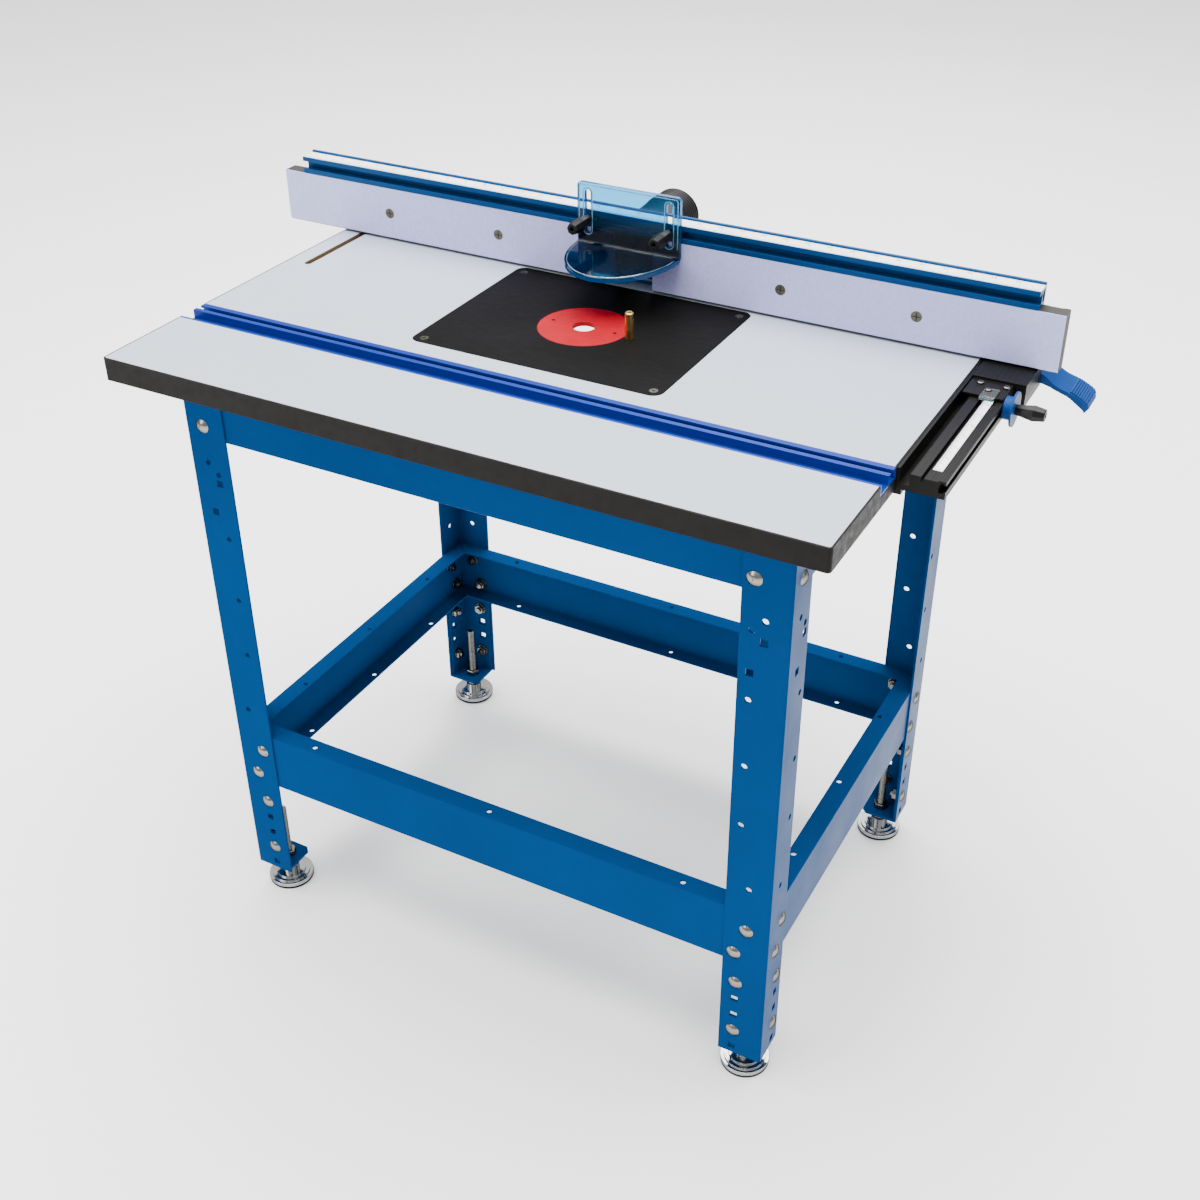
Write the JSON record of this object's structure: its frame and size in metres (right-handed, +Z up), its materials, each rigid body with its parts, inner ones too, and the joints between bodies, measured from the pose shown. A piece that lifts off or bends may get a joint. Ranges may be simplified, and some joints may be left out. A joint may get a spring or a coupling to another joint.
{
  "type": "router table",
  "caption": "Router table on an open steel stand with levelling feet, a laminated top with a router insert and mitre track, and a sliding fence with a clear bit guard and dust port.",
  "frame": {"origin": "on the floor, in the middle of the overall length and depth", "axes": "+X along the fence to the side with the guide rail, +Y from the user to the back, +Z up"},
  "size_m": [1.005, 0.6096, 0.8805],
  "materials": {
    "painted_steel": "satin blue powder coat",
    "zinc": "bright zinc plate",
    "dark_steel": "black oxide",
    "chrome": "polished chrome",
    "rubber": "matte",
    "fibreboard": "plain fibreboard",
    "laminate": "fine pebble laminate",
    "edge_band": "satin",
    "blue_aluminium": "blue anodised",
    "black_aluminium": "black anodised",
    "phenolic": "fine matte",
    "red_ring": "satin red",
    "brass": "turned",
    "scale_white": "printed scale",
    "blue_plastic": "moulded, light gloss",
    "black_plastic": "moulded, light gloss",
    "dark_plastic": "moulded, matte",
    "clear_plastic": "clear, faint blue",
    "facing_board": "laminate over board"
  },
  "bodies": {
    "stand": {"leg_front_left": "painted_steel", "leg_front_right": "painted_steel", "leg_rear_left": "painted_steel", "leg_rear_right": "painted_steel", "foot_brackets": "painted_steel", "upper_rail_front": "painted_steel", "upper_rail_rear": "painted_steel", "upper_rail_left": "painted_steel", "upper_rail_right": "painted_steel", "lower_rail_front": "painted_steel", "lower_rail_rear": "painted_steel", "lower_rail_left": "painted_steel", "lower_rail_right": "painted_steel", "carriage_bolts": "zinc", "stand_nuts": "zinc", "table_core": "fibreboard", "table_laminate": "laminate", "edge_band": "edge_band", "mitre_track": "blue_aluminium", "wood_screws": "zinc", "insert_plate": "phenolic", "insert_plate_screws": "zinc", "plate_levelers": "zinc", "guide_rail": "black_aluminium", "guide_rail_scale": "scale_white"},
    "fence": {"fence_extrusion": "blue_aluminium", "fence_scale": "scale_white", "fence_carriage": "black_aluminium", "dust_port": "dark_plastic", "fence_fasteners": "zinc", "fence_glides": "black_plastic", "clamp_bolt": "zinc", "cursor_lens": "clear_plastic"},
    "cam_lever": {"cam_lever": "blue_plastic"},
    "clamp_knob": {"clamp_knob": "black_plastic"},
    "facing_left": {"facing_left": "facing_board", "facing_screws_left": "dark_steel"},
    "facing_right": {"facing_right": "facing_board", "facing_screws_right": "dark_steel"},
    "guard_bolts": {"guard_bolts": "zinc"},
    "bit_guard": {"bit_guard": "clear_plastic"},
    "guard_knob_left": {"guard_knob_left": "black_plastic"},
    "guard_knob_right": {"guard_knob_right": "black_plastic"},
    "track_stop": {"track_stop": "blue_plastic", "stop_bolt": "zinc"},
    "stop_knob": {"stop_knob": "black_plastic"},
    "reducer_ring": {"reducer_ring": "red_ring"},
    "starter_pin": {"starter_pin": "brass"},
    "foot_front_left": {"foot_cup_front_left": "chrome", "foot_pad_front_left": "rubber"},
    "stem_front_left": {"levelling_stem_front_left": "zinc"},
    "foot_front_right": {"foot_cup_front_right": "chrome", "foot_pad_front_right": "rubber"},
    "stem_front_right": {"levelling_stem_front_right": "zinc"},
    "foot_rear_left": {"foot_cup_rear_left": "chrome", "foot_pad_rear_left": "rubber"},
    "stem_rear_left": {"levelling_stem_rear_left": "zinc"},
    "foot_rear_right": {"foot_cup_rear_right": "chrome", "foot_pad_rear_right": "rubber"},
    "stem_rear_right": {"levelling_stem_rear_right": "zinc"}
  },
  "joints": [
    {"name": "fence_slide", "type": "slide", "parent": "stand", "child": "fence", "axis": [0, 1, 0], "range_m": [-0.112, 0.06]},
    {"name": "lever_turn", "type": "hinge", "parent": "fence", "child": "cam_lever", "pos_m": [0.446, 0.16, 0.747], "axis": [0, -1, 0], "range_deg": [0, 70]},
    {"name": "clamp_knob_turn", "type": "hinge", "parent": "fence", "child": "clamp_knob", "pos_m": [-0.395, 0.168, 0.778], "axis": [0, 0, 1], "continuous": true},
    {"name": "facing_left_slide", "type": "slide", "parent": "fence", "child": "facing_left", "axis": [1, 0, 0], "range_m": [-0.025, 0.0235]},
    {"name": "facing_right_slide", "type": "slide", "parent": "fence", "child": "facing_right", "axis": [1, 0, 0], "range_m": [-0.0235, 0.025]},
    {"name": "guard_along_fence", "type": "slide", "parent": "fence", "child": "guard_bolts", "axis": [1, 0, 0], "range_m": [-0.3, 0.3]},
    {"name": "guard_height", "type": "slide", "parent": "guard_bolts", "child": "bit_guard", "axis": [0, 0, 1], "range_m": [-0.013, 0.012]},
    {"name": "track_stop_slide", "type": "slide", "parent": "fence", "child": "track_stop", "axis": [0, 1, 0], "range_m": [-0.06, 0]},
    {"name": "stop_knob_turn", "type": "hinge", "parent": "track_stop", "child": "stop_knob", "pos_m": [0.4615, 0.047, 0.751], "axis": [1, 0, 0], "continuous": true},
    {"name": "reducer_ring_lift", "type": "slide", "parent": "stand", "child": "reducer_ring", "axis": [0, 0, 1], "range_m": [0, 0.03]},
    {"name": "starter_pin_lift", "type": "slide", "parent": "stand", "child": "starter_pin", "axis": [0, 0, 1], "range_m": [0, 0.04]},
    {"name": "guard_knob_left_turn", "type": "hinge", "parent": "guard_bolts", "child": "guard_knob_left", "pos_m": [-0.0719, 0.095, 0.8385], "axis": [0, -1, 0], "continuous": true},
    {"name": "guard_knob_right_turn", "type": "hinge", "parent": "guard_bolts", "child": "guard_knob_right", "pos_m": [0.0297, 0.095, 0.8385], "axis": [0, -1, 0], "continuous": true},
    {"name": "foot_front_left_height", "type": "slide", "parent": "stand", "child": "foot_front_left", "axis": [0, 0, -1], "range_m": [-0.006, 0.04]},
    {"name": "stem_front_left_turn", "type": "hinge", "parent": "foot_front_left", "child": "stem_front_left", "pos_m": [-0.3443, -0.2258, 0.06], "axis": [0, 0, -1], "range_deg": [-1365, 9075]},
    {"name": "foot_front_right_height", "type": "slide", "parent": "stand", "child": "foot_front_right", "axis": [0, 0, -1], "range_m": [-0.006, 0.04]},
    {"name": "stem_front_right_turn", "type": "hinge", "parent": "foot_front_right", "child": "stem_front_right", "pos_m": [0.3113, -0.2258, 0.06], "axis": [0, 0, -1], "range_deg": [-1365, 9075]},
    {"name": "foot_rear_left_height", "type": "slide", "parent": "stand", "child": "foot_rear_left", "axis": [0, 0, -1], "range_m": [-0.006, 0.04]},
    {"name": "stem_rear_left_turn", "type": "hinge", "parent": "foot_rear_left", "child": "stem_rear_left", "pos_m": [-0.3443, 0.2258, 0.06], "axis": [0, 0, -1], "range_deg": [-1365, 9075]},
    {"name": "foot_rear_right_height", "type": "slide", "parent": "stand", "child": "foot_rear_right", "axis": [0, 0, -1], "range_m": [-0.006, 0.04]},
    {"name": "stem_rear_right_turn", "type": "hinge", "parent": "foot_rear_right", "child": "stem_rear_right", "pos_m": [0.3113, 0.2258, 0.06], "axis": [0, 0, -1], "range_deg": [-1365, 9075]}
  ],
  "couplings": [
    {"joint": "stem_front_left_turn", "follows": "foot_front_left_height", "rad_per_m": 3957.9},
    {"joint": "stem_front_right_turn", "follows": "foot_front_right_height", "rad_per_m": 3957.9},
    {"joint": "stem_rear_left_turn", "follows": "foot_rear_left_height", "rad_per_m": 3957.9},
    {"joint": "stem_rear_right_turn", "follows": "foot_rear_right_height", "rad_per_m": 3957.9}
  ]
}
